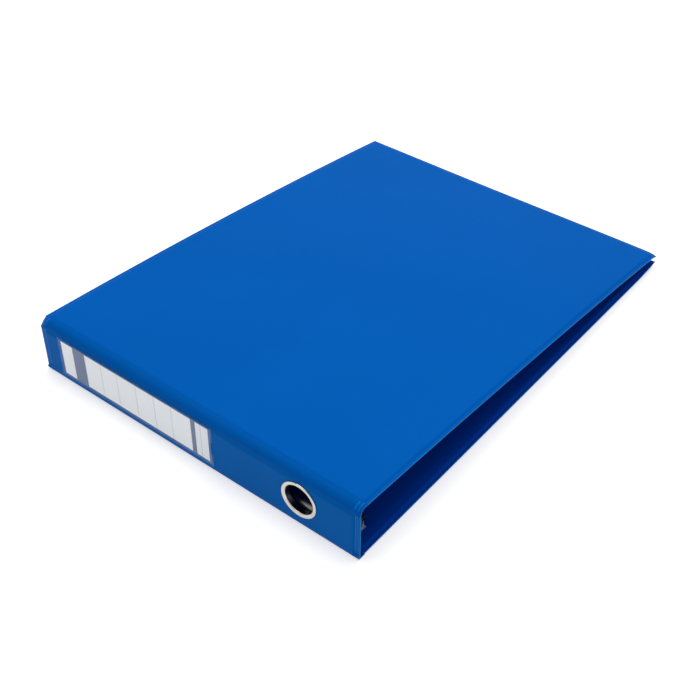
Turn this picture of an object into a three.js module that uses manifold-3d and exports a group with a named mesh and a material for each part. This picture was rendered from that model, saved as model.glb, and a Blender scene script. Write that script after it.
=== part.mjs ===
// A3 landscape ring file: a welded vinyl case round three stiff boards, with a finger ring and a label
// pocket on the spine, and a lever-opened four-ring mechanism on the back cover.
// Millimetres. The closed file lies on its back cover: +X along the spine towards the finger ring,
// +Y from the spine to the fore-edge, +Z up. The origin is the middle of the foot of the whole object.

import * as THREE from 'three';
import { mergeVertices } from 'three/addons/utils/BufferGeometryUtils.js';
import Module from 'manifold-3d';

const wasm = await Module();
wasm.setup();

// ---- driving dimensions ----

const CASE_LENGTH = 318; // along the spine
const COVER_DEPTH = 435; // spine face to fore-edge
const CASE_HEIGHT = 50.4; // over the closed covers at the spine
const FORE_EDGE_HEIGHT = 11.5; // over the closed covers at the fore-edge
const COVER_BOW = 3.6; // rise of the front cover's middle over its chord

const VINYL = 0.45; // one sheet
const BOARD = 2;
const GAP = 0.1; // between layers that touch
const PANEL = 2 * VINYL + BOARD + 2 * GAP; // a whole cover, outside to inside
const FLANGE_TOP = (PANEL - GAP) / 2 - VINYL; // depth of each sheet's weld flange below its own face
const COVER_FLANGE = 2.6; // welded margin round a cover
const SPINE_END_FLANGE = 4.6; // welded margin at the two ends of the spine
const HINGE_EDGE_FLANGE = 0.5;
const BOARD_CORNER_GAP = VINYL + GAP; // from the flange to the board's edge

const HINGE_STRIP = 0.9; // two vinyl sheets welded together
// Outside radius of each bend, its depth below the faces beside it, and the flat part beside the back cover.
const LOWER_HINGE = { radius: 1.7, depth: 0.1, flat: 4.4 };
const UPPER_HINGE = { radius: 6.3, depth: 0.9 };
const BACK_START = 6.5; // from the spine's face to the edge of the back cover
const FRONT_START = 7.8;
const SPINE_FOOT = 2.2;
const SPINE_TOP_MARGIN = 7.5; // from the spine's upper edge to the top of the case

const FINGER_RING_X = 106.4;
const FINGER_RING_Z = 25.2;
const FINGER_RING_RADIUS = 15.7;
const FINGER_HOLE_RADIUS = 12.5;
const FINGER_RING_PROUD = 1;

const CARD = { x0: -135, x1: 23.8, z0: 7.6, z1: 41.5, thickness: 0.3 };
const FILM = { x0: -138.5, x1: 25.5, z0: 5.6, z1: 42.8, thickness: 0.25, seam: 1 };
const FILM_PROUD = 0.9;
const NOTCH_RADIUS = 7; // thumb notch in the open end of the pocket

const MECHANISM_Y = 17; // middle of the rail, from the spine's face
const MECHANISM_FOOT = PANEL + 0.2;
const RAIL = { halfLength: 144, halfWidth: 8, shoulder: 5.6, apex: 9.6, sheet: 0.8, lip: 0.9, lipReach: 1.8 };
const RAIL_TOP_HALF_LENGTH = 137; // the arched top stops here and leaves two ears for each lever
const EAR_TOP = 8.6;
const TAB_OVER_EARS = 1.6; // lets the wide part of a lever tilt past the ears
const RING_PITCH = 80;
const RING_X = [-1.5, -0.5, 0.5, 1.5].map((step) => step * RING_PITCH);
const WIRE_RADIUS = 1.8;
const RING_HEIGHT = 35.2; // middle of the wire at the top of a ring
const RING_SPLIT_Y = 19.5;
const BLADE = { foot: 4.6, thickness: 1, halfLength: 138.6, outer: 6.9, inner: 0.2 };
const RIVET_X = 130;
const RIVET_SHANK = 2;
const LEVER_PIN_X = 142;
const LEVER_PIN_Z = 6.6;
const LEVER_PIN_RADIUS = 1.1;
const LEVER_WIDTH = 12;
const LEVER_TAB_WIDTH = 15.4; // above the ears
const END_PLATE = { from: 143.7, to: 146.2, thickness: 0.8 }; // joins the two ears at each end of the rail
const RUNNING_GAP = 0.15;

const ROUND_SEGMENTS = 48;
const SMALL_SEGMENTS = 24;
const MERGE_FACES_WITHIN = 1e-3;
const BEND_STEP = 27; // length of a flat stretch of the bowed cover

const COLOURS = {
  vinyl: 0x0056b2,
  lining: 0x003f8c,
  board: 0x9a948a,
  metal: 0xc9c7c2,
  lever: 0x26262a,
  card: 0xd4d8dd,
  film: 0xdfe9f2,
};

// ---- solids ----

function closed(geometry) {
  geometry.deleteAttribute('normal');
  geometry.deleteAttribute('uv');
  return mergeVertices(geometry, 1e-4);
}

function toManifold(geometry) {
  const merged = closed(geometry.clone());
  return new wasm.Manifold(
    new wasm.Mesh({
      numProp: 3,
      vertProperties: Float32Array.from(merged.attributes.position.array),
      triVerts: Uint32Array.from(merged.index.array),
    }),
  );
}

function fromManifold(manifold) {
  const mesh = manifold.asOriginal().simplify(MERGE_FACES_WITHIN).getMesh();
  const geometry = new THREE.BufferGeometry();
  geometry.setAttribute('position', new THREE.BufferAttribute(mesh.vertProperties, 3));
  geometry.setIndex(new THREE.BufferAttribute(mesh.triVerts, 1));
  return geometry;
}

function combine(base, added, removed) {
  let result = toManifold(base);
  for (const geometry of added) {
    result = result.add(toManifold(geometry));
  }
  for (const geometry of removed) {
    result = result.subtract(toManifold(geometry));
  }
  return fromManifold(result);
}

const cut = (base, ...removed) => combine(base, [], removed);

// A box between two corners.
function block(x0, x1, y0, y1, z0, z1) {
  const geometry = new THREE.BoxGeometry(x1 - x0, y1 - y0, z1 - z0);
  return geometry.translate((x0 + x1) / 2, (y0 + y1) / 2, (z0 + z1) / 2);
}

// An outline in the Y-Z plane, drawn out along X.
function alongX(outline, x0, x1) {
  const shape = outline instanceof THREE.Shape ? outline : new THREE.Shape(outline);
  const geometry = new THREE.ExtrudeGeometry(shape, { depth: x1 - x0, bevelEnabled: false, curveSegments: 10 });
  const toWorld = new THREE.Matrix4().makeBasis(
    new THREE.Vector3(0, 1, 0),
    new THREE.Vector3(0, 0, 1),
    new THREE.Vector3(1, 0, 0),
  );
  return geometry.applyMatrix4(toWorld).translate(x0, 0, 0);
}

// An outline in the X-Z plane, drawn out along Y about a middle plane.
function acrossY(shape, middle, width) {
  const geometry = new THREE.ExtrudeGeometry(shape, { depth: width, bevelEnabled: false, curveSegments: 8 });
  return geometry.rotateX(Math.PI / 2).translate(0, middle + width / 2, 0);
}

// A turned piece on the Y axis or, when upright, on the Z axis. Points are [radius, height].
function turned(profile, segments, upright = false) {
  const points = profile.map(([radius, height]) => new THREE.Vector2(radius, height));
  const geometry = new THREE.LatheGeometry(points, segments);
  return upright ? geometry.rotateX(Math.PI / 2) : geometry;
}

function rod(radius, length, segments = SMALL_SEGMENTS) {
  return new THREE.CylinderGeometry(radius, radius, length, segments);
}

// ---- how each panel lies: s runs from its hinge edge, t from its outer face inwards; gives [y, z] ----

const backPlace = (s, t) => [BACK_START + s, t];
const spinePlace = (s, t) => [t, SPINE_FOOT + s];

const coverRun = COVER_DEPTH - FRONT_START;
const coverDrop = CASE_HEIGHT - FORE_EDGE_HEIGHT;
const coverChord = Math.hypot(coverRun, coverDrop);
const coverRadius = coverChord ** 2 / (8 * COVER_BOW) + COVER_BOW / 2;
const coverHalfAngle = Math.asin(coverChord / 2 / coverRadius);
const coverStartAngle = coverHalfAngle - Math.atan2(coverDrop, coverRun);

function frontPlace(s, t) {
  const angle = coverStartAngle - s / coverRadius;
  const y = FRONT_START + coverRadius * (Math.sin(coverStartAngle) - Math.sin(angle));
  const z = CASE_HEIGHT + coverRadius * (Math.cos(angle) - Math.cos(coverStartAngle));
  return [y + t * Math.sin(angle), z - t * Math.cos(angle)];
}

const PANELS = {
  back: {
    place: backPlace,
    length: COVER_DEPTH - BACK_START,
    ends: COVER_FLANGE,
    far: COVER_FLANGE,
    step: COVER_DEPTH,
  },
  spine: {
    place: spinePlace,
    length: CASE_HEIGHT - SPINE_FOOT - SPINE_TOP_MARGIN,
    ends: SPINE_END_FLANGE,
    far: HINGE_EDGE_FLANGE,
    step: CASE_HEIGHT,
  },
  front: {
    place: frontPlace,
    length: 2 * coverHalfAngle * coverRadius,
    ends: COVER_FLANGE,
    far: COVER_FLANGE,
    step: BEND_STEP,
  },
};

// A slab that follows the panel between depths t0 and t1, inset from the hinge edge, the far edge and the ends.
function slab(panel, insets, t0, t1) {
  const s0 = insets.hinge;
  const s1 = panel.length - insets.far;
  const stations = [s0];
  for (let s = panel.step; s < s1; s += panel.step) {
    if (s > s0 + 1 && s < s1 - 1) {
      stations.push(s);
    }
  }
  stations.push(s1);
  const outer = stations.map((s) => new THREE.Vector2(...panel.place(s, t0)));
  const inner = stations.map((s) => new THREE.Vector2(...panel.place(s, t1)));
  const halfLength = CASE_LENGTH / 2 - insets.ends;
  return alongX([...outer, ...inner.reverse()], -halfLength, halfLength);
}

function inset(panel, extra) {
  return { hinge: HINGE_EDGE_FLANGE + extra, far: panel.far + extra, ends: panel.ends + extra };
}

const NO_INSET = { hinge: 0, far: 0, ends: 0 };

// One vinyl sheet: a shallow tray over half the board's thickness, with a flat weld flange round it.
function tray(panel, depth, holes) {
  const flangeFoot = FLANGE_TOP + VINYL;
  const walls = slab(panel, inset(panel, 0), depth(0), depth(flangeFoot));
  const flange = slab(panel, NO_INSET, depth(FLANGE_TOP), depth(flangeFoot));
  const hollow = slab(panel, inset(panel, VINYL), depth(VINYL), depth(PANEL));
  return combine(walls, [flange], [hollow, ...holes]);
}

const outerSkin = (panel, ...holes) => tray(panel, (t) => t, holes);
const lining = (panel, ...holes) => tray(panel, (t) => PANEL - t, holes);

function stiffBoard(panel, ...holes) {
  return cut(slab(panel, inset(panel, BOARD_CORNER_GAP), VINYL + GAP, VINYL + GAP + BOARD), ...holes);
}

// The strip of welded vinyl that bends round the lower corner, with a flat part beside the back cover.
function lowerHingeStrip() {
  const { radius, depth, flat } = LOWER_HINGE;
  const centre = radius + depth;
  const shape = new THREE.Shape();
  shape.moveTo(centre + flat, depth + HINGE_STRIP);
  shape.absarc(centre, centre, radius - HINGE_STRIP, 1.5 * Math.PI, Math.PI, true);
  shape.absarc(centre, centre, radius, Math.PI, 1.5 * Math.PI, false);
  shape.lineTo(centre + flat, depth);
  shape.closePath();
  return alongX(shape, -CASE_LENGTH / 2, CASE_LENGTH / 2);
}

// The strip that bends from the top of the spine into the front cover.
function upperHingeStrip() {
  const { radius, depth } = UPPER_HINGE;
  const y = depth + radius;
  const z = CASE_HEIGHT - y;
  const coverEnd = Math.PI / 2 + coverStartAngle;
  const shape = new THREE.Shape();
  shape.absarc(y, z, radius, coverEnd, Math.PI, false);
  shape.absarc(y, z, radius - HINGE_STRIP, Math.PI, coverEnd, true);
  return alongX(shape, -CASE_LENGTH / 2, CASE_LENGTH / 2);
}

// ---- spine fittings ----

const spineHole = () => rod(FINGER_HOLE_RADIUS + 0.7, 20, ROUND_SEGMENTS).translate(FINGER_RING_X, 0, FINGER_RING_Z);

function fingerRing() {
  const barrel = FINGER_HOLE_RADIUS + 0.4;
  const curl = PANEL + 0.85;
  const profile = [
    [FINGER_HOLE_RADIUS, curl],
    [FINGER_HOLE_RADIUS, 0],
    [FINGER_HOLE_RADIUS + 0.25, -0.55],
    [FINGER_HOLE_RADIUS + 0.8, -0.9],
    [FINGER_HOLE_RADIUS + 1.5, -FINGER_RING_PROUD],
    [FINGER_RING_RADIUS - 0.7, -0.85],
    [FINGER_RING_RADIUS - 0.15, -0.45],
    [FINGER_RING_RADIUS, -GAP],
    [barrel, -GAP],
    [barrel, PANEL + 0.65],
    [barrel + 0.9, PANEL + 0.65],
    [barrel + 1.1, curl],
    [barrel + 0.7, PANEL + 1.1],
    [FINGER_HOLE_RADIUS + 0.3, PANEL + 1.1],
    [FINGER_HOLE_RADIUS, curl],
  ];
  return turned(profile, ROUND_SEGMENTS).translate(FINGER_RING_X, 0, FINGER_RING_Z);
}

function fingerRingWasher() {
  const inner = FINGER_HOLE_RADIUS + 0.55;
  const profile = [
    [inner, PANEL + GAP],
    [FINGER_RING_RADIUS, PANEL + GAP],
    [FINGER_RING_RADIUS - 0.3, PANEL + 0.5],
    [inner, PANEL + 0.55],
    [inner, PANEL + GAP],
  ];
  return turned(profile, ROUND_SEGMENTS).translate(FINGER_RING_X, 0, FINGER_RING_Z);
}

function labelPocketFilm() {
  const sheetBack = -FILM_PROUD + FILM.thickness;
  const outside = block(FILM.x0, FILM.x1, -FILM_PROUD, -GAP / 2, FILM.z0, FILM.z1);
  const pocket = block(FILM.x0 + FILM.seam, FILM.x1 + 5, sheetBack, 1, FILM.z0 + FILM.seam, FILM.z1 - FILM.seam);
  const middle = (FILM.z0 + FILM.z1) / 2;
  return cut(outside, pocket, rod(NOTCH_RADIUS, 8, ROUND_SEGMENTS).translate(FILM.x1 + 2.5, 0, middle));
}

function labelCard() {
  return block(CARD.x0, CARD.x1, -0.15 - CARD.thickness, -0.15, CARD.z0, CARD.z1);
}

// ---- ring mechanism ----

function railOutline() {
  const { halfWidth, shoulder, apex, sheet, lip, lipReach } = RAIL;
  const left = MECHANISM_Y - halfWidth;
  const right = MECHANISM_Y + halfWidth;
  const shape = new THREE.Shape();
  shape.moveTo(left, MECHANISM_FOOT);
  shape.lineTo(left + lipReach, MECHANISM_FOOT);
  shape.lineTo(left + lipReach, MECHANISM_FOOT + lip);
  shape.lineTo(left + sheet, MECHANISM_FOOT + lip);
  shape.lineTo(left + sheet, shoulder - 0.2);
  shape.quadraticCurveTo(MECHANISM_Y - 4.5, apex - sheet, MECHANISM_Y, apex - sheet);
  shape.quadraticCurveTo(MECHANISM_Y + 4.5, apex - sheet, right - sheet, shoulder - 0.2);
  shape.lineTo(right - sheet, MECHANISM_FOOT + lip);
  shape.lineTo(right - lipReach, MECHANISM_FOOT + lip);
  shape.lineTo(right - lipReach, MECHANISM_FOOT);
  shape.lineTo(right, MECHANISM_FOOT);
  shape.lineTo(right, shoulder);
  shape.quadraticCurveTo(MECHANISM_Y + 5, apex, MECHANISM_Y, apex);
  shape.quadraticCurveTo(MECHANISM_Y - 5, apex, left, shoulder);
  shape.closePath();
  return shape;
}

function ringRail() {
  const { halfLength, halfWidth, sheet, lip } = RAIL;
  const ears = [];
  const removed = [];
  for (const end of [-1, 1]) {
    const near = end * (RAIL_TOP_HALF_LENGTH - 1);
    const far = end * halfLength;
    const ear = [Math.min(near, far), Math.max(near, far)];
    for (const side of [-1, 1]) {
      const outside = MECHANISM_Y + side * halfWidth;
      const inside = outside - side * sheet;
      const across = [Math.min(outside, inside), Math.max(outside, inside)];
      ears.push(block(...ear, ...across, MECHANISM_FOOT, EAR_TOP));
    }
    const plate = [end * END_PLATE.from, end * END_PLATE.to].sort((a, b) => a - b);
    const plateTop = MECHANISM_FOOT + END_PLATE.thickness;
    ears.push(block(...plate, MECHANISM_Y - halfWidth, MECHANISM_Y + halfWidth, MECHANISM_FOOT, plateTop));
    const topEnd = end * RAIL_TOP_HALF_LENGTH;
    const beyond = end * (halfLength + 1);
    const open = [Math.min(topEnd, beyond), Math.max(topEnd, beyond)];
    const clear = halfWidth - sheet;
    removed.push(
      block(...open, MECHANISM_Y - clear, MECHANISM_Y + clear, MECHANISM_FOOT + lip, RAIL.apex + 1),
      rod(LEVER_PIN_RADIUS + RUNNING_GAP, 30).translate(end * LEVER_PIN_X, MECHANISM_Y, LEVER_PIN_Z),
      rod(RIVET_SHANK + 0.2, 8).rotateX(Math.PI / 2).translate(end * RIVET_X, MECHANISM_Y, RAIL.apex),
    );
  }
  for (const x of RING_X) {
    for (const side of [-1, 1]) {
      const wall = MECHANISM_Y + side * (halfWidth + 0.2);
      const reach = MECHANISM_Y + side * 2;
      const across = [Math.min(wall, reach), Math.max(wall, reach)];
      removed.push(block(x - 2.5, x + 2.5, ...across, MECHANISM_FOOT + lip, RAIL.apex + 1));
    }
  }
  return combine(alongX(railOutline(), -halfLength, halfLength), ears, removed);
}

// side is -1 for the blade nearer the spine and 1 for the other.
function ringBlade(side) {
  const outer = MECHANISM_Y + side * BLADE.outer;
  const inner = MECHANISM_Y + side * BLADE.inner;
  const across = [Math.min(outer, inner), Math.max(outer, inner)];
  const strip = block(-BLADE.halfLength, BLADE.halfLength, ...across, BLADE.foot, BLADE.foot + BLADE.thickness);
  const notches = [-RIVET_X, RIVET_X].map((x) =>
    rod(RIVET_SHANK + 0.9, 6).rotateX(Math.PI / 2).translate(x, MECHANISM_Y, BLADE.foot),
  );
  return cut(strip, ...notches);
}

const RING_FOOT = BLADE.foot + BLADE.thickness + 0.2;

// Middle line of each half ring, as [y, z]. The half nearer the spine is bowed, the other has a straight leg.
const RING_LINES = {
  spine: [
    [12.4, RING_FOOT],
    [12.4, 7.4],
    [11.1, 12],
    [10.4, 17],
    [10.5, 23],
    [11.6, 28.6],
    [14.4, 33.2],
    [17.6, RING_HEIGHT],
    [RING_SPLIT_Y - 0.2, RING_HEIGHT],
  ],
  fore: [
    [21.6, RING_FOOT],
    [21.6, 7.3],
    [22.9, 9.6],
    [26.4, 11.2],
    [29.1, 13.4],
    [29.8, 17],
    [29.8, 23],
    [29.4, 29.4],
    [26.4, 33.6],
    [22.6, RING_HEIGHT],
    [RING_SPLIT_Y + 0.2, RING_HEIGHT],
  ],
};

function halfRing(line, x) {
  const path = new THREE.CatmullRomCurve3(
    line.map(([y, z]) => new THREE.Vector3(x, y, z)),
    false,
    'centripetal',
  );
  const section = new THREE.Shape().absarc(0, 0, WIRE_RADIUS, 0, 2 * Math.PI);
  return new THREE.ExtrudeGeometry(section, { steps: 22, extrudePath: path, curveSegments: 5, bevelEnabled: false });
}

// A bell-crank plate: a foot under the blades, a round hub on the pin and a thumb tab that stands up.
function openingLever(end) {
  const at = (x, z) => [end * (LEVER_PIN_X + x), LEVER_PIN_Z + z];
  const hub = 2.1;
  const arm = new THREE.Shape();
  arm.moveTo(...at(1.4, -2.6));
  arm.lineTo(...at(hub, 0));
  arm.lineTo(...at(4.5, 8.4));
  arm.quadraticCurveTo(...at(5, 9.6), ...at(4.2, 9.9));
  arm.quadraticCurveTo(...at(3.4, 10), ...at(3.1, 8.9));
  arm.lineTo(...at(1.2, hub - 0.1));
  arm.lineTo(...at(-1.2, hub - 0.2));
  arm.lineTo(...at(-hub, 0));
  arm.lineTo(...at(-1.6, -2.6));
  arm.closePath();
  const pin = rod(LEVER_PIN_RADIUS + RUNNING_GAP, 30).translate(end * LEVER_PIN_X, MECHANISM_Y, LEVER_PIN_Z);
  const noseFrom = end * (LEVER_PIN_X - 3.2);
  const noseTo = end * (LEVER_PIN_X - 1.2);
  const nose = block(
    Math.min(noseFrom, noseTo),
    Math.max(noseFrom, noseTo),
    MECHANISM_Y - 0.8,
    MECHANISM_Y + 0.8,
    LEVER_PIN_Z - 3.1,
    LEVER_PIN_Z - 2.5,
  );
  const aboveEars = block(end * LEVER_PIN_X - 12, end * LEVER_PIN_X + 12, 0, 40, EAR_TOP + TAB_OVER_EARS, 30);
  const tab = toManifold(acrossY(arm, MECHANISM_Y, LEVER_TAB_WIDTH)).intersect(toManifold(aboveEars));
  return combine(acrossY(arm, MECHANISM_Y, LEVER_WIDTH), [nose, fromManifold(tab)], [pin]);
}

function leverPin(end) {
  const headFrom = RAIL.halfWidth + GAP;
  const profile = [
    [0, -headFrom - 0.7],
    [1.5, -headFrom - 0.6],
    [1.7, -headFrom],
    [LEVER_PIN_RADIUS, -headFrom],
    [LEVER_PIN_RADIUS, headFrom],
    [1.7, headFrom],
    [1.5, headFrom + 0.6],
    [0, headFrom + 0.7],
  ];
  return turned(profile, 16).translate(end * LEVER_PIN_X, MECHANISM_Y, LEVER_PIN_Z);
}

function railRivet(end) {
  const domeFoot = RAIL.apex + 0.05;
  const profile = [
    [0, 0.02],
    [4.2, 0.02],
    [4.5, 0.12],
    [4.5, 0.5],
    [RIVET_SHANK, 0.5],
    [RIVET_SHANK, domeFoot],
    [3.4, domeFoot],
    [3.1, domeFoot + 0.7],
    [1.9, domeFoot + 1.25],
    [0, domeFoot + 1.4],
  ];
  return turned(profile, SMALL_SEGMENTS, true).translate(end * RIVET_X, MECHANISM_Y, 0);
}

const rivetHoles = (radius) =>
  [-RIVET_X, RIVET_X].map((x) => rod(radius, 12).rotateX(Math.PI / 2).translate(x, MECHANISM_Y, 2));

// ---- the assembly ----

const file = new THREE.Group();
file.position.y = -(COVER_DEPTH - FINGER_RING_PROUD) / 2;

const FINISHES = {
  vinyl: { roughness: 0.42, metalness: 0 },
  lining: { roughness: 0.5, metalness: 0 },
  board: { roughness: 0.9, metalness: 0 },
  metal: { roughness: 0.25, metalness: 1 },
  lever: { roughness: 0.4, metalness: 0.6 },
  card: { roughness: 0.6, metalness: 0 },
  film: { roughness: 0.2, metalness: 0, transparent: true, opacity: 0.35 },
};

function add(name, geometry, finish) {
  const material = new THREE.MeshStandardMaterial({ color: COLOURS[finish], ...FINISHES[finish] });
  const mesh = new THREE.Mesh(closed(geometry), material);
  mesh.name = name;
  file.add(mesh);
}

add('back_cover_skin', outerSkin(PANELS.back, ...rivetHoles(4.7)), 'vinyl');
add('back_cover_board', stiffBoard(PANELS.back, ...rivetHoles(RIVET_SHANK + 0.2)), 'board');
add('back_cover_lining', lining(PANELS.back, ...rivetHoles(RIVET_SHANK + 0.2)), 'lining');

add('spine_skin', outerSkin(PANELS.spine, spineHole()), 'vinyl');
add('spine_board', stiffBoard(PANELS.spine, spineHole()), 'board');
add('spine_lining', lining(PANELS.spine, spineHole()), 'lining');
add('finger_ring', fingerRing(), 'metal');
add('finger_ring_washer', fingerRingWasher(), 'metal');
add('label_pocket_film', labelPocketFilm(), 'film');
add('label_card', labelCard(), 'card');

add('front_cover_skin', outerSkin(PANELS.front), 'vinyl');
add('front_cover_board', stiffBoard(PANELS.front), 'board');
add('front_cover_lining', lining(PANELS.front), 'lining');

add('lower_hinge_strip', lowerHingeStrip(), 'vinyl');
add('upper_hinge_strip', upperHingeStrip(), 'vinyl');

add('ring_rail', ringRail(), 'metal');
add('ring_leaf_spine_side', ringBlade(-1), 'metal');
add('ring_leaf_fore_side', ringBlade(1), 'metal');
RING_X.forEach((x, index) => {
  add(`ring_${index + 1}_spine_half`, halfRing(RING_LINES.spine, x), 'metal');
  add(`ring_${index + 1}_fore_half`, halfRing(RING_LINES.fore, x), 'metal');
});
for (const [label, end] of [['foot', -1], ['head', 1]]) {
  add(`opening_lever_${label}`, openingLever(end), 'lever');
  add(`lever_pin_${label}`, leverPin(end), 'metal');
  add(`rail_rivet_${label}`, railRivet(end), 'metal');
}

export default file;
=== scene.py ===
"""Looks of the landscape ring file: welded vinyl case, spine label, finger ring and ring mechanism."""
import math
from dataclasses import dataclass

import bpy
import numpy as np
from mathutils import Matrix, Vector, noise


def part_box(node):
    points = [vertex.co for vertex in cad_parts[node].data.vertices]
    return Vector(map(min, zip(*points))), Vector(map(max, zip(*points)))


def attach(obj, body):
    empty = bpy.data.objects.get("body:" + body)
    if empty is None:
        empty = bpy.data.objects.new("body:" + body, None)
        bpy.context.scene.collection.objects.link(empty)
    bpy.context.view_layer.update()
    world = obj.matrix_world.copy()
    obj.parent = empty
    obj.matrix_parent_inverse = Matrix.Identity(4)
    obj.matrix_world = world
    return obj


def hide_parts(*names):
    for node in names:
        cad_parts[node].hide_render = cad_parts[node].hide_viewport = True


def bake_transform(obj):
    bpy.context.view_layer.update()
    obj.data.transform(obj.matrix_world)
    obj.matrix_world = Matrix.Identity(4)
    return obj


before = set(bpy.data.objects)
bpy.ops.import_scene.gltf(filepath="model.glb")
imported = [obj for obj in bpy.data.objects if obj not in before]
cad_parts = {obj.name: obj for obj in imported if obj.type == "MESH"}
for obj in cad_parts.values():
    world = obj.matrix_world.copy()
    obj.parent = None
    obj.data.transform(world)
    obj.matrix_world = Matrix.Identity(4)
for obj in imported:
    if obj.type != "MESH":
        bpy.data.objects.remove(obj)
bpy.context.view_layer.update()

MM = 0.001
SPINE_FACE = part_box("spine_skin")[0].y  # the outer face of the spine, where the design's y is 0
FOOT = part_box("back_cover_skin")[0].z

# ---- driving dimensions, in millimetres, as the CAD has them ----

HALF_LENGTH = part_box("back_cover_skin")[1].x / MM
COVER_DEPTH = (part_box("back_cover_skin")[1].y - SPINE_FACE) / MM
CASE_HEIGHT = 50.4
FORE_EDGE_HEIGHT = 11.5
COVER_BOW = 3.6
PANEL = (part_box("back_cover_lining")[1].z - FOOT) / MM
VINYL = 0.45
SEAM_DEPTH = PANEL / 2  # where the two welded sheets meet
FLANGE_DEPTH = SEAM_DEPTH - VINYL - 0.02  # of each sheet's weld flange below its own face
BACK_START = (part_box("back_cover_skin")[0].y - SPINE_FACE) / MM
FRONT_START = 7.8
SPINE_FOOT = (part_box("spine_skin")[0].z - FOOT) / MM
SPINE_LENGTH = (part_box("spine_skin")[1].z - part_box("spine_skin")[0].z) / MM
COVER_FLANGE = 2.6
SPINE_END_FLANGE = 4.6
HINGE_EDGE_FLANGE = 0.5
HINGE_STRIP = 0.9
LOWER_HINGE = {"radius": 1.7, "depth": 0.1, "flat": 4.4}
UPPER_HINGE = {"radius": 6.3, "depth": 0.9}

# ---- softer shapes that the CAD leaves out, in millimetres ----

SHOULDER = 2.6  # width of the rounded edge over a board
BOARD_CORNER = 2.5
BOARD_GAP = 0.7  # from a flange to the board's edge
BOARD_DEPTH = 0.62  # of the board's faces below the panel's
EDGE_RISE = 1.4  # of the front cover's fore-edge towards the finger ring end
RISE_X = -60  # where it starts along the spine
RISE_START, RISE_RUN = 150, 270  # and where it starts and how far it runs towards the fore-edge
CORNER_DROOP, DROOP_REACH = 1.6, 9  # the front cover's fore corner by the finger ring hangs down
CORNER_LIFT, LIFT_REACH = 2.4, 34  # and the back cover's curls up
WARP, WARP_SPAN = 0.1, 95  # soft unevenness of a cover
WELD_PRESS = 0.2  # depth of the pressed lines
COVER_WELD = 1.5  # from a cover's free edges to its pressed line
SPINE_WELDS = (1.3, 2.7, 4.1)  # the pressed lines, from each end of the spine
HINGE_LAP = 0.12  # how far a hinge strip dips under the panel beside it
HINGE_BEAD = 0.05
HINGE_RIPPLE, RIPPLE_SPAN = 0.06, 26
FAR_PINCH, NEAR_PINCH, PINCH_REACH = 1.7, 0.3, 3.4  # the upper strip is squeezed in at its ends
HINGE_RIDGE = {"height": 0.25, "at": 5.4, "width": 0.5}  # raised line across a strip near each end
SPINE_BORE = 13.2  # radius of the spine's hole, under the finger ring's rim
RIVET_HEAD_BORE = 4.7
RIVET_SHANK_BORE = 2.3
# Painted highlight: beyond this distance, the rail's end faces take a brighter nickel for the light line
# along their top edge.
RAIL_END_FACE = 143.4  # the rail's faces beyond this distance from the middle are its ends


def row(points):
    """Design millimetres to the row frame's metres."""
    points = np.asarray(points, float)
    return points * MM + np.array([0.0, SPINE_FACE, FOOT])


# ---- node helpers ----

def linear(r, g, b):
    """An sRGB colour, 0 to 255, as linear values with alpha."""
    def one(v):
        v /= 255
        return v / 12.92 if v <= 0.04045 else ((v + 0.055) / 1.055) ** 2.4
    return (one(r), one(g), one(b), 1.0)


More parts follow.
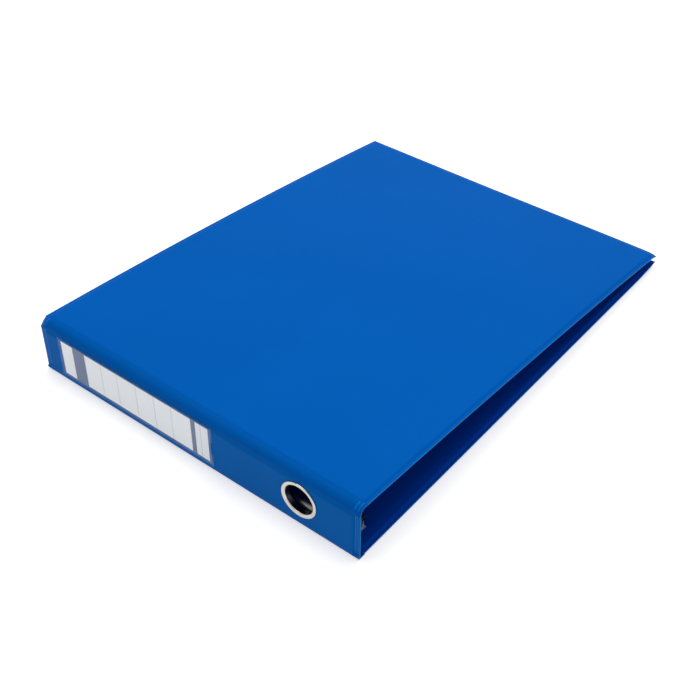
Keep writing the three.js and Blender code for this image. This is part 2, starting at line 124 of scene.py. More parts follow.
class Shader:
    """A Principled material with short calls for its nodes."""

    def __init__(self, name, colour, roughness, metallic=0.0, specular=0.5):
        self.material = bpy.data.materials.new(name)
        self.material.use_nodes = True
        self.nodes = self.material.node_tree.nodes
        self.links = self.material.node_tree.links
        self.bsdf = self.nodes["Principled BSDF"]
        self.bsdf.inputs["Base Color"].default_value = colour
        self.bsdf.inputs["Roughness"].default_value = roughness
        self.bsdf.inputs["Metallic"].default_value = metallic
        self.bsdf.inputs["Specular IOR Level"].default_value = specular
        self.coordinates = self.nodes.new("ShaderNodeTexCoord").outputs["Object"]

    def link(self, source, target):
        self.links.new(source, target)

    def scaled(self, scale):
        mapping = self.nodes.new("ShaderNodeMapping")
        mapping.inputs["Scale"].default_value = scale
        self.link(self.coordinates, mapping.inputs["Vector"])
        return mapping.outputs["Vector"]

    def noise(self, scale, detail=3.0, roughness=0.55, stretch=(1, 1, 1)):
        node = self.nodes.new("ShaderNodeTexNoise")
        node.inputs["Scale"].default_value = scale
        node.inputs["Detail"].default_value = detail
        node.inputs["Roughness"].default_value = roughness
        self.link(self.scaled(stretch), node.inputs["Vector"])
        return node.outputs["Fac"]

    def ramp(self, factor, stops):
        node = self.nodes.new("ShaderNodeValToRGB")
        elements = node.color_ramp.elements
        while len(elements) < len(stops):
            elements.new(0.5)
        for element, (position, colour) in zip(elements, stops):
            element.position = position
            element.color = colour
        self.link(factor, node.inputs["Fac"])
        return node.outputs["Color"]

    def between(self, factor, low, high):
        """factor, from 0 to 1, as a value from low to high."""
        node = self.nodes.new("ShaderNodeMapRange")
        node.inputs["To Min"].default_value = low
        node.inputs["To Max"].default_value = high
        self.link(factor, node.inputs["Value"])
        return node.outputs["Result"]

    def math(self, operation, a, b):
        node = self.nodes.new("ShaderNodeMath")
        node.operation = operation
        for slot, value in zip(node.inputs, (a, b)):
            if isinstance(value, (int, float)):
                slot.default_value = value
            else:
                self.link(value, slot)
        return node.outputs["Value"]

    def mix(self, factor, a, b):
        node = self.nodes.new("ShaderNodeMix")
        node.data_type = "RGBA"
        self.link(factor, node.inputs[0])
        colour_inputs = [socket for socket in node.inputs if socket.type == "RGBA"]
        for slot, value in zip(colour_inputs, (a, b)):
            if isinstance(value, tuple):
                slot.default_value = value
            else:
                self.link(value, slot)
        return next(socket for socket in node.outputs if socket.type == "RGBA")

    def bump(self, height, distance, strength, below=None):
        node = self.nodes.new("ShaderNodeBump")
        node.inputs["Distance"].default_value = distance
        node.inputs["Strength"].default_value = strength
        self.link(height, node.inputs["Height"])
        if below is not None:
            self.link(below, node.inputs["Normal"])
        return node.outputs["Normal"]

    def colour(self, source):
        self.link(source, self.bsdf.inputs["Base Color"])
        return self

    def roughness(self, source):
        self.link(source, self.bsdf.inputs["Roughness"])
        return self

    def normal(self, source):
        self.link(source, self.bsdf.inputs["Normal"])
        return self


def shade(colour, factor):
    return tuple(c * factor for c in colour[:3]) + (1.0,)


# ---- materials ----

VINYL_BLUE = linear(0, 81, 161)
# Painted shade: the spine is the same vinyl as the covers, given a darker blue for its side face, which takes
# less of the overhead light.
SPINE_SHADED_BLUE = linear(0, 82, 154)
# Painted shade: the inner sheets are the same vinyl as the outside, given a darker blue for the shade inside
# the file.
LINING_SHADED_BLUE = linear(0, 55, 148)
EDGE_BLUE = linear(36, 120, 188)
# Painted highlight: paler blue for the pressed lines near the ends, where they catch the light.
WELD_HIGHLIGHT_BLUE = linear(8, 98, 182)
SHEEN_BLUE = (0.08, 0.6, 1.0, 1.0)


def vinyl(name, colour, roughness=0.4, specular=0.015):
    """Calendered vinyl sheet: very fine grain, faint cloudiness and a satin sheen."""
    s = Shader(name, colour, roughness, specular=specular)
    s.bsdf.inputs["Specular Tint"].default_value = SHEEN_BLUE
    clouds = s.noise(9, detail=4)
    s.colour(s.ramp(clouds, [(0.3, shade(colour, 0.965)), (0.7, shade(colour, 1.035))]))
    rubbed = s.noise(38, detail=5, roughness=0.65)
    s.roughness(s.between(rubbed, roughness - 0.07, roughness + 0.07))
    fine = s.bump(s.noise(2600, detail=2), 0.00002, 0.6)
    s.normal(s.bump(s.noise(210, detail=3), 0.00003, 0.35, below=fine))
    return s.material


def metal(name, colour, roughness, brush=(1, 1, 1), brush_depth=0.000004):
    """Plated steel with faint smudges and fine drawn lines."""
    s = Shader(name, colour, roughness, metallic=1.0)
    smudge = s.noise(140, detail=4, roughness=0.6)
    s.roughness(s.between(smudge, roughness * 0.75, roughness * 1.35))
    s.colour(s.ramp(smudge, [(0.35, shade(colour, 0.94)), (0.65, shade(colour, 1.03))]))
    s.normal(s.bump(s.noise(900, detail=3, stretch=brush), brush_depth, 0.5))
    return s.material


def greyboard():
    base = linear(150, 143, 132)
    s = Shader("greyboard", base, 0.92, specular=0.2)
    fibre = s.noise(700, detail=6, roughness=0.7, stretch=(1, 0.35, 1))
    fleck = s.noise(160, detail=2)
    pulp = s.ramp(fibre, [(0.3, shade(base, 0.78)), (0.7, shade(base, 1.18))])
    s.colour(s.mix(s.between(fleck, 0, 0.35), pulp, linear(120, 118, 116)))
    s.normal(s.bump(fibre, 0.00012, 0.7))
    return s.material


CARD_LOW, CARD_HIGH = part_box("label_card")
SLATE = linear(84, 99, 134)
BORDER_BLUE = linear(40, 88, 146)
CARD_WHITE = linear(224, 226, 228)
END_BOX_GREY = linear(200, 204, 212)
RULE_GREY = linear(150, 156, 168)

# Printed features, in millimetres from the card's far end.
CARD_TITLE = (12.9, 26.7)
CARD_END_RULE = (139.1, 143.7)
CARD_END_BOX = (144.1, 156.3)
CARD_RULES = (44.7, 62.2, 82.3, 101.5, 119.4, 149)
RULE_HALF_WIDTH = 0.25
FOOT_BORDER = 1.0  # width of the border along the card's lower edge
HEAD_BORDER = 0.5


def printed_card():
    """White card with a slate border, two slate bands, thin divider rules and a pale end box."""
    s = Shader("printed_card", CARD_WHITE, 0.5, specular=0.3)
    split = s.nodes.new("ShaderNodeSeparateXYZ")
    s.link(s.coordinates, split.inputs["Vector"])
    along = s.math("DIVIDE", s.math("SUBTRACT", split.outputs["X"], CARD_LOW.x), CARD_HIGH.x - CARD_LOW.x)
    up = s.math("DIVIDE", s.math("SUBTRACT", split.outputs["Z"], CARD_LOW.z), CARD_HIGH.z - CARD_LOW.z)
    length = (CARD_HIGH.x - CARD_LOW.x) / MM

    def band(value, low, high):
        """1 where value is between low and high."""
        return s.math("MULTIPLY", s.math("GREATER_THAN", value, low), s.math("LESS_THAN", value, high))

    fibre = s.noise(1500, detail=4, roughness=0.6)
    ground = s.ramp(fibre, [(0.3, shade(CARD_WHITE, 0.97)), (0.7, shade(CARD_WHITE, 1.02))])
    end_box = band(along, CARD_END_BOX[0] / length, CARD_END_BOX[1] / length)
    ground = s.mix(s.math("MULTIPLY", end_box, 0.3), ground, END_BOX_GREY)
    for at in CARD_RULES:
        rule = band(along, (at - RULE_HALF_WIDTH) / length, (at + RULE_HALF_WIDTH) / length)
        ground = s.mix(s.math("MULTIPLY", rule, 0.75), ground, RULE_GREY)
    for low, high in (CARD_TITLE, CARD_END_RULE):
        ground = s.mix(band(along, low / length, high / length), ground, SLATE)
    ground = s.mix(s.math("GREATER_THAN", along, CARD_END_BOX[1] / length), ground, BORDER_BLUE)
    height = (CARD_HIGH.z - CARD_LOW.z) / MM
    foot = s.math("LESS_THAN", up, FOOT_BORDER / height)
    head = s.math("GREATER_THAN", up, 1 - HEAD_BORDER / height)
    ground = s.mix(s.math("MAXIMUM", foot, head), ground, SLATE)
    s.colour(ground)
    s.normal(s.bump(fibre, 0.00001, 0.4))
    return s.material


def clear_film(name, alpha, roughness):
    s = Shader(name, linear(205, 222, 240), roughness, specular=0.35)
    s.bsdf.inputs["Alpha"].default_value = alpha
    s.roughness(s.between(s.noise(60, detail=4), roughness * 0.7, roughness * 1.4))
    s.normal(s.bump(s.noise(45, detail=3), 0.00015, 0.5))
    return s.material


MATERIALS = {
    "vinyl": vinyl("outer_vinyl", VINYL_BLUE),
    # Painted shade: darker copy of the outer vinyl for the spine's side face.
    "spine_vinyl_painted_shade": vinyl("spine_vinyl_painted_shade", SPINE_SHADED_BLUE),
    # Painted highlight for the pressed lines.
    "weld": vinyl("weld_line_highlight", WELD_HIGHLIGHT_BLUE, roughness=0.3, specular=0.1),
    # Painted shade: the hinge strips are the same vinyl, made 14 % darker for the shade on their rounded
    # turn.
    "hinge": vinyl("hinge_vinyl", shade(VINYL_BLUE, 0.86), roughness=0.33),
    # Painted shade: the inner sheets' darker blue stands for the shade inside the file.
    "lining": vinyl("lining_vinyl", LINING_SHADED_BLUE, roughness=0.45, specular=0.025),
    "edge": vinyl("cut_vinyl_edge", EDGE_BLUE, roughness=0.45),
    "nickel": metal("nickel_plate", linear(204, 200, 193), 0.18, brush=(1, 1, 8)),
    "ring": metal("ring_nickel", linear(214, 211, 205), 0.14, brush=(8, 1, 1)),
    # Painted shade: the rail is the same nickel as the rivets, made darker for the shade inside the file,
    # where it shows dim through the finger ring.
    "rail": metal("rail_nickel_painted_shade", linear(146, 145, 144), 0.24, brush=(0.05, 1, 1), brush_depth=0.00001),
    # Painted shade: dark metal for the eyelet's bore inside the spine.
    "barrel": metal("eyelet_barrel_painted_shade", linear(70, 70, 74), 0.3),
    # Dark grey metal for the levers, as dark as they show at the file's open end.
    "lever": metal("dark_lever", linear(38, 38, 42), 0.38, brush=(1, 8, 1)),
    # Painted highlight: brighter nickel for the rail's end faces, for the light line along their top edge.
    "plate": metal("rail_end_painted_highlight", linear(222, 222, 224), 0.42),
    "spring_steel": metal(
        "spring_steel", linear(160, 160, 162), 0.34, brush=(0.04, 1, 1), brush_depth=0.00002
    ),
    "board": greyboard(),
    "card": printed_card(),
    "film": clear_film("pocket_film", 0.045, 0.14),
}


# ---- mesh helpers ----

def mesh_object(name, points, faces, material):
    mesh = bpy.data.meshes.new(name)
    mesh.from_pydata([tuple(p) for p in points], [], faces)
    mesh.validate()
    mesh.materials.append(MATERIALS[material])
    obj = bpy.data.objects.new(name, mesh)
    bpy.context.scene.collection.objects.link(obj)
    return obj


def grid_faces(rows, columns, offset=0, flip=False):
    faces = []
    for i in range(rows - 1):
        for j in range(columns - 1):
            a = offset + i * columns + j
            quad = (a, a + 1, a + columns + 1, a + columns)
            faces.append(quad[::-1] if flip else quad)
    return faces


def sheet_between(name, top, under, material, edge="edge", flip=False):
    """A closed sheet from two grids of design points, with its rim in the cut-edge material."""
    rows, columns = top.shape[:2]
    count = rows * columns
    points = np.concatenate([top.reshape(-1, 3), under.reshape(-1, 3)])
    faces = grid_faces(rows, columns, 0, flip) + grid_faces(rows, columns, count, not flip)
    rim = [(0, j) for j in range(columns)] + [(i, columns - 1) for i in range(1, rows)]
    rim += [(rows - 1, j) for j in range(columns - 2, -1, -1)] + [(i, 0) for i in range(rows - 2, 0, -1)]
    ids = [i * columns + j for i, j in rim]
    first_rim_face = len(faces)
    for a, b in zip(ids, ids[1:] + ids[:1]):
        quad = (b, a, a + count, b + count)
        faces.append(quad[::-1] if flip else quad)
    obj = mesh_object(name, row(points), faces, material)
    obj.data.materials.append(MATERIALS[edge])
    for polygon in obj.data.polygons[first_rim_face:]:
        polygon.material_index = 1
    sharpen(obj)
    return obj


def sharpen(obj, angle=50):
    """Smooth shading with sharp edges above an angle, kept in the mesh."""
    mesh = obj.data
    mesh.shade_smooth()
    mesh.set_sharp_from_angle(angle=math.radians(angle))


def turned(name, profile, centre, material, segments=96):
    """A closed piece turned about Y; profile is [radius, y] round a loop, in design millimetres."""
    points = []
    for k in range(segments):
        turn = 2 * math.pi * k / segments
        points += [(radius * math.cos(turn), y, radius * math.sin(turn)) for radius, y in profile]
    count = len(profile)
    faces = []
    for k in range(segments):
        for j in range(count):
            a, b = k * count + j, k * count + (j + 1) % count
            c, d = ((k + 1) % segments) * count + (j + 1) % count, ((k + 1) % segments) * count + j
            faces.append((a, b, c, d))
    obj = mesh_object(name, row(np.array(points) + np.array(centre)), faces, material)
    sharpen(obj, 40)
    return obj


def finish_piece(obj, body, slot, *nodes):
    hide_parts(*nodes)
    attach(obj, body)
    return obj


# ---- how each panel lies: s from its hinge edge, t from its outer face inwards; gives y and z ----

cover_run = COVER_DEPTH - FRONT_START
cover_drop = CASE_HEIGHT - FORE_EDGE_HEIGHT
cover_chord = math.hypot(cover_run, cover_drop)
cover_radius = cover_chord ** 2 / (8 * COVER_BOW) + COVER_BOW / 2
cover_half_angle = math.asin(cover_chord / 2 / cover_radius)
cover_start_angle = cover_half_angle - math.atan2(cover_drop, cover_run)


def back_place(x, s, t):
    from_corner = math.hypot(HALF_LENGTH - x, COVER_DEPTH - BACK_START - s)
    return BACK_START + s, t + CORNER_LIFT * max(0, 1 - from_corner / LIFT_REACH) ** 2


def spine_place(x, s, t):
    return t, SPINE_FOOT + s


def ease(value):
    value = min(max(value, 0.0), 1.0)
    return value * value * (3 - 2 * value)


def front_place(x, s, t):
    angle = cover_start_angle - s / cover_radius
    y = FRONT_START + cover_radius * (math.sin(cover_start_angle) - math.sin(angle))
    z = CASE_HEIGHT + cover_radius * (math.cos(angle) - math.cos(cover_start_angle))
    from_corner = math.hypot(HALF_LENGTH - x, 2 * cover_half_angle * cover_radius - s)
    droop = CORNER_DROOP * max(0, 1 - from_corner / DROOP_REACH) ** 2
    along, outwards = ease((x - RISE_X) / (HALF_LENGTH - RISE_X)), ease((s - RISE_START) / RISE_RUN)
    rise = EDGE_RISE * along * outwards
    return y + t * math.sin(angle), z - t * math.cos(angle) - droop + rise


@dataclass
class Panel:
    """One stiff part of the case, in millimetres."""

    name: str
    place: object  # gives y and z from x, s and t
    length: float
    ends: float  # width of the weld flange at the two ends
    far: float  # and on the side away from the hinge
    step: float  # spacing of the mesh away from the edges
    hinges: tuple  # depth of the hinge strip at the near side and, for the spine, at the far side
    seed: float  # of the sheet's unevenness


COVER_STEP = 14
BACK = Panel(
    name="back_cover", place=back_place, length=COVER_DEPTH - BACK_START,
    ends=COVER_FLANGE, far=COVER_FLANGE, step=COVER_STEP, hinges=(LOWER_HINGE["depth"],), seed=1.0,
)
SPINE = Panel(
    name="spine", place=spine_place, length=SPINE_LENGTH, ends=SPINE_END_FLANGE, far=HINGE_EDGE_FLANGE,
    step=4, hinges=(LOWER_HINGE["depth"], UPPER_HINGE["depth"]), seed=5.0,
)
FRONT = Panel(
    name="front_cover", place=front_place, length=2 * cover_half_angle * cover_radius,
    ends=COVER_FLANGE, far=COVER_FLANGE, step=COVER_STEP, hinges=(UPPER_HINGE["depth"],), seed=9.0,
)


def stations(low, high, flange_low, flange_high, step):
    """Positions from low to high, close together over the flanges and the rounded edges of the board."""
    def near(flange):
        offsets = [0.0, 0.25, 0.5]
        offsets += [d for d in np.arange(0.8, flange - 0.1, 0.3)]
        offsets += [flange + SHOULDER * k for k in (-0.02, 0.03, 0.1, 0.2, 0.35, 0.55, 0.8, 1.05, 1.5)]
        return offsets + [flange + 4.5, flange + 8]

    start = [low + d for d in near(flange_low)]
    finish = [high - d for d in near(flange_high)][::-1]
    span = finish[0] - start[-1]
    count = max(1, round(span / step))
    middle = [start[-1] + span * k / count for k in range(1, count)]
    return sorted(set(round(v, 4) for v in start + middle + finish))


def inside_board(x, s, panel):
    """Distance inwards from the edge of the board's rounded outline."""
    from_end = HALF_LENGTH - panel.ends - abs(x)
    from_side = min(s - HINGE_EDGE_FLANGE, panel.length - panel.far - s)
    if from_end < BOARD_CORNER and from_side < BOARD_CORNER:
        return BOARD_CORNER - math.hypot(BOARD_CORNER - from_end, BOARD_CORNER - from_side)
    return min(from_end, from_side)


def weld_groove(distance, at, depth, half_width=0.35):
    """Size, at this distance, of a smooth line that is deepest at one place."""
    return depth * math.exp(-((distance - at) / half_width) ** 2)


def grooves(x, s, panel, depth):
    """Depth of the fine pressed lines in the weld, parallel to the free edges."""
    from_end, from_side = HALF_LENGTH - abs(x), panel.length - s
    lines = SPINE_WELDS if panel is SPINE else (COVER_WELD,)
    total = sum(weld_groove(from_end, at, depth) for at in lines)
    if panel is not SPINE:
        total = max(total, weld_groove(from_side, COVER_WELD, depth))
    return total


def unevenness(x, s, seed):
    p = Vector((x / WARP_SPAN, s / WARP_SPAN, seed))
    return WARP * noise.noise(p) + 0.03 * noise.noise(p * 5)


def hinge_depth(x, s, panel):
    """Depth of the hinge strip beside this place, or None away from the hinges."""
    if HALF_LENGTH - panel.ends - abs(x) <= 0:
        return None
    if s < panel.length / 2:
        return panel.hinges[0]
    return panel.hinges[-1] if panel is SPINE else None


def sheet_depth(x, s, panel):
    """Depth of a vinyl sheet below its own face of the panel."""
    inside = inside_board(x, s, panel)
    beside = hinge_depth(x, s, panel)
    at_hinge = beside is not None and min(s, panel.length - s) <= SHOULDER + HINGE_EDGE_FLANGE
    inside = inside if at_hinge else inside * 1.3
    low = beside if at_hinge else FLANGE_DEPTH
    if inside <= 0:
        return low if at_hinge else low + grooves(x, s, panel, WELD_PRESS)
    share = min(inside / SHOULDER, 1)
    rounded = low * (1 - ease(share) * 0.35 - math.sqrt(max(0.0, 1 - (1 - share) ** 2)) * 0.65)
    return rounded + ease(inside / 12) * abs(unevenness(x, s, panel.seed))


def panel_grid(panel, xs, ss, depth_at):
    grid = np.empty((len(xs), len(ss), 3))
    for i, x in enumerate(xs):
        for j, s in enumerate(ss):
            y, z = panel.place(x, s, depth_at(x, s))
            grid[i, j] = (x, y, z)
    return grid


def paint_weld_highlights(sheet, width=0.22):
    """Painted highlight: gives the faces along the spine's pressed lines a paler, glossier blue, where the
    lines catch the light.
    """
    sheet.data.materials.append(MATERIALS["weld"])
    for polygon in sheet.data.polygons:
        from_end = HALF_LENGTH - abs(polygon.center.x) / MM
        if polygon.material_index == 0 and any(abs(from_end - at) < width for at in SPINE_WELDS):
            polygon.material_index = 2


def panel_stations(panel):
    xs = stations(-HALF_LENGTH, HALF_LENGTH, panel.ends, panel.ends, COVER_STEP)
    return xs, stations(0, panel.length, HINGE_EDGE_FLANGE, panel.far, panel.step)


def outer_skin(panel):
    xs, ss = panel_stations(panel)
    top = panel_grid(panel, xs, ss, lambda x, s: sheet_depth(x, s, panel))
    under = panel_grid(panel, xs, ss, lambda x, s: min(sheet_depth(x, s, panel) + VINYL, SEAM_DEPTH))
    # The spine's outer sheet takes the darker copy of the vinyl blue, painted shade.
    material = "spine_vinyl_painted_shade" if panel is SPINE else "vinyl"
    sheet = sheet_between(panel.name + "_outer_vinyl", top, under, material, flip=panel is not BACK)
    if panel is SPINE:
        paint_weld_highlights(sheet)
    return sheet


def inner_lining(panel):
    """The inner sheet, shaped like the outer one but slightly flatter."""
    xs, ss = panel_stations(panel)

    def depth(x, s):
        return sheet_depth(x, s, panel) * 0.92 + 0.03

    top = panel_grid(panel, xs, ss, lambda x, s: max(PANEL - depth(x, s) - VINYL, SEAM_DEPTH))
    under = panel_grid(panel, xs, ss, lambda x, s: PANEL - depth(x, s))
    # The inner sheets take the darker lining blue, painted shade.
    return sheet_between(panel.name + "_inner_vinyl", top, under, "lining", flip=panel is not BACK)


def board(panel):
    """The greyboard between the sheets, with rounded corners."""
    ends = HALF_LENGTH - panel.ends - BOARD_GAP
    edges = [0, 0.2, 0.5, 0.9, 1.4, 2.0, 2.5]
    xs = [-ends + e for e in edges] + list(np.linspace(-ends + 14, ends - 14, 24))
    xs += [ends - e for e in edges[::-1]]
    shares = np.linspace(0, 1, 3 if panel is SPINE else 36)
    grids = []
    for depth in (BOARD_DEPTH, PANEL - BOARD_DEPTH):
        grid = np.empty((len(xs), len(shares), 3))
        for i, x in enumerate(xs):
            short = max(0.0, BOARD_CORNER - (ends - abs(x)))
            corner = BOARD_CORNER - math.sqrt(BOARD_CORNER ** 2 - short ** 2)
            first = HINGE_EDGE_FLANGE + BOARD_GAP + corner
            last = panel.length - panel.far - BOARD_GAP - corner
            for j, share in enumerate(shares):
                grid[i, j] = (x, *panel.place(x, first + (last - first) * share, depth))
        grids.append(grid)
    return sheet_between(panel.name + "_greyboard", *grids, "board", "board", flip=panel is not BACK)


def bore(obj, centre, radius, length, axis):
    """Cuts a round hole through a piece."""
    bpy.ops.mesh.primitive_cylinder_add(vertices=96, radius=radius * MM, depth=length * MM)
    cutter = bpy.context.object
    cutter.matrix_world = Matrix.Translation(Vector(row(centre))) @ axis
    modifier = obj.modifiers.new("bore", "BOOLEAN")
    modifier.object = cutter
    modifier.solver = "EXACT"
    bpy.context.view_layer.update()
    depsgraph = bpy.context.evaluated_depsgraph_get()
    cut_mesh = bpy.data.meshes.new_from_object(obj.evaluated_get(depsgraph))
    obj.modifiers.remove(modifier)
    obj.data = cut_mesh
    bpy.data.objects.remove(cutter)
    sharpen(obj)


def centre_of(node):
    """The middle of a CAD node, in design millimetres."""
    low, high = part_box(node)
    middle = (low + high) / 2
    return np.array([middle.x, middle.y - SPINE_FACE, middle.z - FOOT]) / MM


ALONG_Y = Matrix.Rotation(math.pi / 2, 4, "X")
ALONG_Z = Matrix.Identity(4)
BEND_STEPS = 24
RING_CENTRE = centre_of("finger_ring_washer")
RIVET_CENTRES = [centre_of("rail_rivet_foot"), centre_of("rail_rivet_head")]


def case():
    """Two covers and a spine, each a board between two sheets, with holes for the finger ring and rivets."""
    for panel in (BACK, SPINE, FRONT):
        skin, inner, stiffener = outer_skin(panel), inner_lining(panel), board(panel)
        if panel is SPINE:
            for piece in (skin, inner, stiffener):
                bore(piece, (RING_CENTRE[0], 0, RING_CENTRE[2]), SPINE_BORE, 20, ALONG_Y)
        if panel is BACK:
            for x, y, _ in RIVET_CENTRES:
                bore(skin, (x, y, 0), RIVET_HEAD_BORE, 6, ALONG_Z)
                bore(stiffener, (x, y, 0), RIVET_SHANK_BORE, 20, ALONG_Z)
                bore(inner, (x, y, 0), RIVET_SHANK_BORE, 20, ALONG_Z)
        finish_piece(skin, panel.name, "outer_vinyl", panel.name + "_skin")
        finish_piece(inner, panel.name, "lining_vinyl", panel.name + "_lining")
        finish_piece(stiffener, panel.name, "greyboard", panel.name + "_board")


def hinge_profile(kind, lift):
    """Points [y, z, share] along the outside of a strip, lifted off it; share runs 0 to 1 across the bend.

    Each side dips a little under the panel beside it."""
    upper = kind is UPPER_HINGE
    radius, centre = kind["radius"], kind["radius"] + kind["depth"]
    centre_z = CASE_HEIGHT - centre if upper else centre
    out = -1 if upper else 1
    last = math.pi / 2 + cover_start_angle if upper else 1.5 * math.pi
    spine_y = centre - radius - lift
    points = [(spine_y + HINGE_LAP, centre_z + 1.2 * out, 0.0), (spine_y, centre_z + 0.3 * out, 0.0)]
    for k in range(BEND_STEPS + 1):
        angle = math.pi + (last - math.pi) * k / BEND_STEPS
        y = centre + (radius + lift) * math.cos(angle)
        z = centre_z + (radius + lift) * math.sin(angle)
        points.append((y, z, k / BEND_STEPS))
    if upper:
        slope, flat_runs, lap_run = math.tan(cover_start_angle), (0.15,), 0.9
    else:
        flat = kind["flat"]
        slope, flat_runs, lap_run = 0, (0.4, 1.2, 2.2, 3.2, flat), flat + 1
    y, z = points[-1][:2]
    points += [(y + run, z + slope * run, 1.0) for run in flat_runs]
    points.append((y + lap_run, z + slope * lap_run + HINGE_LAP * out, 1.0))
    return points


def paint_hinge_highlights(strip):
    """Painted highlight: the lines across the upper hinge near its ends catch the light where it turns over,
    so their upper faces take the paler blue.
    """
    strip.data.materials.append(MATERIALS["weld"])
    shoulder = (CASE_HEIGHT - 4) * MM + FOOT
    for polygon in strip.data.polygons:
        from_end = HALF_LENGTH - abs(polygon.center.x) / MM
        in_line = 4.9 < from_end < 5.9 or 2.3 < from_end < 2.9
        if polygon.material_index == 0 and in_line and polygon.center.z > shoulder:
            polygon.material_index = 3


def hinge_strip(name, kind, node):
    """A welded double sheet bent round the corner, softly rippled, with a raised line near each end; its
    outside is a darker copy of the vinyl blue, painted shade.
    """
    edges = [0, 0.3, 0.7, 1.1, 1.6, 2.2, 2.4, 2.8, 3.2, 4.0, 4.8, 5.0, 5.8, 6.1, 7.5]
    xs = [-HALF_LENGTH + e for e in edges] + list(np.linspace(-HALF_LENGTH + 12, HALF_LENGTH - 12, 70))
    xs += [HALF_LENGTH - e for e in edges[::-1]]
    shares = [share for _, _, share in hinge_profile(kind, 0)]
    top = np.empty((len(xs), len(shares), 3))
    under = np.empty_like(top)
    for i, x in enumerate(xs):
        from_end = HALF_LENGTH - abs(x)
        pinch = (FAR_PINCH if x < 0 else NEAR_PINCH) if kind is UPPER_HINGE else 0
        ridge = weld_groove(from_end, HINGE_RIDGE["at"], HINGE_RIDGE["height"], HINGE_RIDGE["width"])
        press = pinch * (1 - ease(from_end / PINCH_REACH)) - ridge
        for j, share in enumerate(shares):
            across = abs(share - 0.5) * 2
            wave = noise.noise(Vector((x / RIPPLE_SPAN, share * 3, kind["depth"])))
            ripple = HINGE_RIPPLE * wave * (1 - across)
            lift = ripple + HINGE_BEAD * (1 - ease(across * 1.15)) - press * (1 - across ** 4)
            top[i, j] = (x, *hinge_profile(kind, lift)[j][:2])
            under[i, j] = (x, *hinge_profile(kind, min(-HINGE_STRIP, lift - 0.5))[j][:2])
    strip = sheet_between(name, top, under, "hinge", flip=kind is LOWER_HINGE)
    # The strip's inner side takes the darker lining blue, painted shade.
    strip.data.materials.append(MATERIALS["lining"])
    one_side = (len(xs) - 1) * (len(shares) - 1)
    for polygon in strip.data.polygons[one_side:2 * one_side]:
        polygon.material_index = 2
    if kind is UPPER_HINGE:
        paint_hinge_highlights(strip)
    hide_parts(node)
    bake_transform(strip)


def hinges():
    hinge_strip("lower_hinge_vinyl", LOWER_HINGE, "lower_hinge_strip")
    hinge_strip("upper_hinge_vinyl", UPPER_HINGE, "upper_hinge_strip")


def arc_points(centre, radius, first, last, count):
    """Points on an arc in a profile plane; angles in degrees."""
    angles = np.radians(np.linspace(first, last, count))
    return [(centre[0] + radius * math.cos(a), centre[1] + radius * math.sin(a)) for a in angles]


def finger_ring():
    """The eyelet: a rolled bright rim outside, a smooth barrel and a clinched inner lip; the barrel's inside
    faces are dark metal, painted shade.
    """
    rim_low, rim_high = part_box("finger_ring")
    outer = (rim_high.x - rim_low.x) / 2 / MM
    proud = (SPINE_FACE - rim_low.y) / MM
    end = (rim_high.y - SPINE_FACE) / MM
    bore_radius = outer - 3.2
    roll = proud / 2
    profile = [(bore_radius, end - 0.5), (bore_radius, 1.2)]
    profile += arc_points((bore_radius + 1.2, 0.3), 1.2, 170, 255, 8)
    profile += [(bore_radius + 1.6, -proud)]
    profile += arc_points((outer - roll, -proud + roll), roll, 270, 360, 7)
    profile += [(outer - 0.05, -0.08), (bore_radius + 0.4, -0.08), (bore_radius + 0.4, end - 0.55)]
    profile += arc_points((bore_radius + 1.0, end - 0.45), 0.42, 250, 90, 6)
    profile += [(bore_radius + 0.3, end)]
    ring = turned("finger_ring_eyelet", profile, (RING_CENTRE[0], 0, RING_CENTRE[2]), "nickel", segments=128)
    # Painted shade: the bore's faces behind the spine face take the dark metal.
    ring.data.materials.append(MATERIALS["barrel"])
    for polygon in ring.data.polygons:
        centre = polygon.center / MM - Vector((RING_CENTRE[0], SPINE_FACE / MM, RING_CENTRE[2] + FOOT / MM))
        if math.hypot(centre.x, centre.z) < bore_radius + 0.35 and centre.y > 0:
            polygon.material_index = 1
    finish_piece(ring, "spine", "nickel_steel", "finger_ring")
    low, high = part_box("finger_ring_washer")
    near, far = (low.y - SPINE_FACE) / MM, (high.y - SPINE_FACE) / MM
    rim = (high.x - low.x) / 2 / MM
    washer_profile = [(rim - 2.3, near), (rim - 0.1, near), (rim, near + 0.15), (rim - 0.3, far - 0.05),
                      (rim - 0.8, far), (rim - 2.0, far)]
    washer = turned("finger_ring_backing", washer_profile, (RING_CENTRE[0], 0, RING_CENTRE[2]), "nickel")
    finish_piece(washer, "spine", "nickel_steel", "finger_ring_washer")


def refined(node, name, material, bevel, segments=2):
    """A copy of a CAD piece with merged flat faces, softened edges and smooth shading."""
    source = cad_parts[node]
    obj = bpy.data.objects.new(name, source.data.copy())
    bpy.context.scene.collection.objects.link(obj)
    obj.data.materials.clear()
    obj.data.materials.append(MATERIALS[material])
    for kind, settings in (
        ("WELD", {"merge_threshold": 0.000005}),
        ("DECIMATE", {"decimate_type": "DISSOLVE", "angle_limit": math.radians(1)}),
        ("BEVEL", {"width": bevel * MM, "segments": segments, "limit_method": "ANGLE",
                   "angle_limit": math.radians(28)}),
    ):
        modifier = obj.modifiers.new(kind.lower(), kind)
        for setting, value in settings.items():
            setattr(modifier, setting, value)
    bpy.context.view_layer.update()
    depsgraph = bpy.context.evaluated_depsgraph_get()
    softened = bpy.data.meshes.new_from_object(obj.evaluated_get(depsgraph))
    obj.modifiers.clear()
    obj.data = softened
    sharpen(obj, 38)
    return obj


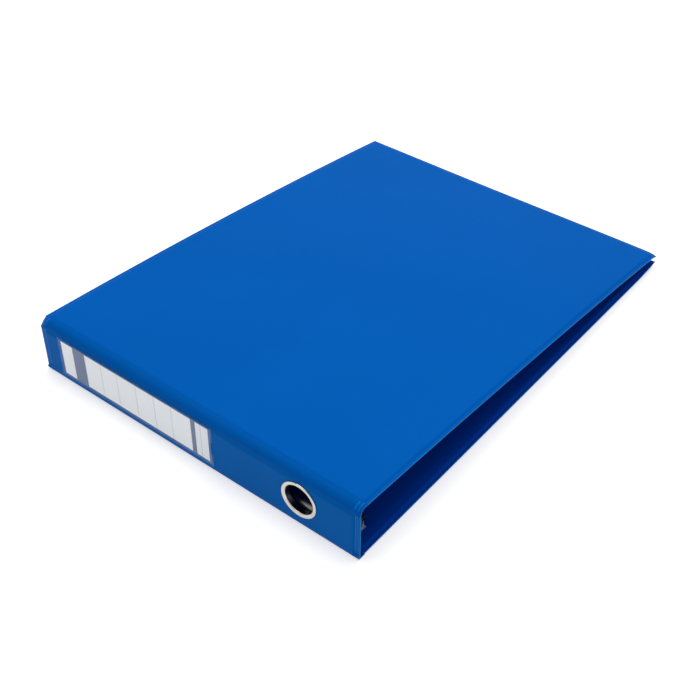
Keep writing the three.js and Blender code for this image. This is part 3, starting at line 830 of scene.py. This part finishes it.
def mechanism():
    """The rail with its two blades, and a lever, pin and rivet at each end."""
    pieces = [
        ("ring_rail", "rail_cover", "rail", "back_cover", "nickel_steel", 0.18),
        ("ring_leaf_spine_side", "blade_spine_side", "spring_steel", "spine_side_rings", "spring_steel", 0.1),
        ("ring_leaf_fore_side", "blade_fore_side", "spring_steel", "fore_side_rings", "spring_steel", 0.1),
    ]
    for end in ("foot", "head"):
        pieces += [
            ("opening_lever_" + end, "lever_" + end, "lever", "lever_" + end, "black_steel", 0.25),
            ("lever_pin_" + end, "pin_" + end, "spring_steel", "back_cover", "spring_steel", 0.12),
            ("rail_rivet_" + end, "rivet_" + end, "nickel", "back_cover", "nickel_steel", 0.1),
        ]
    for node, name, material, body, slot, bevel in pieces:
        piece = refined(node, name + "_metal", material, bevel)
        if node == "ring_rail":
            # The rail's end faces take the brighter nickel, painted highlight.
            piece.data.materials.append(MATERIALS["plate"])
            for polygon in piece.data.polygons:
                polygon.material_index = int(abs(polygon.center.x) > RAIL_END_FACE * MM)
        finish_piece(piece, body, slot, node)


def rings():
    for number in range(1, 5):
        for half, body in (("spine", "spine_side_rings"), ("fore", "fore_side_rings")):
            node = f"ring_{number}_{half}_half"
            piece = refined(node, f"ring_{number}_{half}_wire", "ring", 0.35, 3)
            finish_piece(piece, body, "nickel_steel", node)


def label():
    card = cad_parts["label_card"].data
    card.materials.clear()
    card.materials.append(MATERIALS["card"])
    film = refined("label_pocket_film", "label_pocket_sheet", "film", 0.12)
    finish_piece(film, "spine", "clear_film", "label_pocket_film")


# Name, place in metres, size in metres and power in watts.
LIGHTS = (
    ("overhead", (-0.2, 0.45, 1.9), 2.2, 36),
    ("front", (-0.6, -1.8, 1.0), 1.2, 2),
)


def studio():
    bpy.ops.mesh.primitive_plane_add(size=40, location=(0, 0, FOOT - 0.0004))
    floor = bpy.context.object
    floor.name = "floor"
    s = Shader("floor_white", (0.6, 0.6, 0.6, 1), 0.75, specular=0.1)
    s.colour(s.ramp(s.noise(3, detail=2), [(0.3, (0.59, 0.59, 0.59, 1)), (0.7, (0.61, 0.61, 0.61, 1))]))
    s.bsdf.inputs["Emission Color"].default_value = (1, 1, 1, 1)
    s.bsdf.inputs["Emission Strength"].default_value = 0.5
    floor.data.materials.append(s.material)
    world = bpy.data.worlds.new("studio")
    world.use_nodes = True
    world.node_tree.nodes["Background"].inputs["Color"].default_value = (1, 1, 1, 1)
    world.node_tree.nodes["Background"].inputs["Strength"].default_value = 0.6
    bpy.context.scene.world = world
    for name, place, size, power in LIGHTS:
        data = bpy.data.lights.new(name, "AREA")
        data.shape = "DISK"
        data.size = size
        data.energy = power
        light = bpy.data.objects.new(name, data)
        light.location = place
        light.rotation_euler = (Vector((0, 0, 0)) - Vector(place)).to_track_quat("-Z", "Y").to_euler()
        bpy.context.scene.collection.objects.link(light)
    bpy.context.scene.view_settings.view_transform = "Standard"


# The camera stands off the finger-ring end of the spine and looks down over the file.
CAMERA_PLACE = (0.4722, -0.6329, 0.6360)
VIEW_AZIMUTH = 37.81
VIEW_ELEVATION = 40.61
VIEW_ROLL = 0.68
LENS = 60.86


def camera():
    data = bpy.data.cameras.new("camera")
    data.lens = LENS
    data.clip_start = 0.01
    obj = bpy.data.objects.new("camera", data)
    turn = (
        Matrix.Rotation(math.radians(VIEW_AZIMUTH), 4, "Z")
        @ Matrix.Rotation(math.radians(90 - VIEW_ELEVATION), 4, "X")
        @ Matrix.Rotation(math.radians(VIEW_ROLL), 4, "Z")
    )
    obj.matrix_world = Matrix.Translation(CAMERA_PLACE) @ turn
    bpy.context.scene.collection.objects.link(obj)
    bpy.context.scene.camera = obj


camera()
case()
hinges()
finger_ring()
mechanism()
rings()
label()
studio()
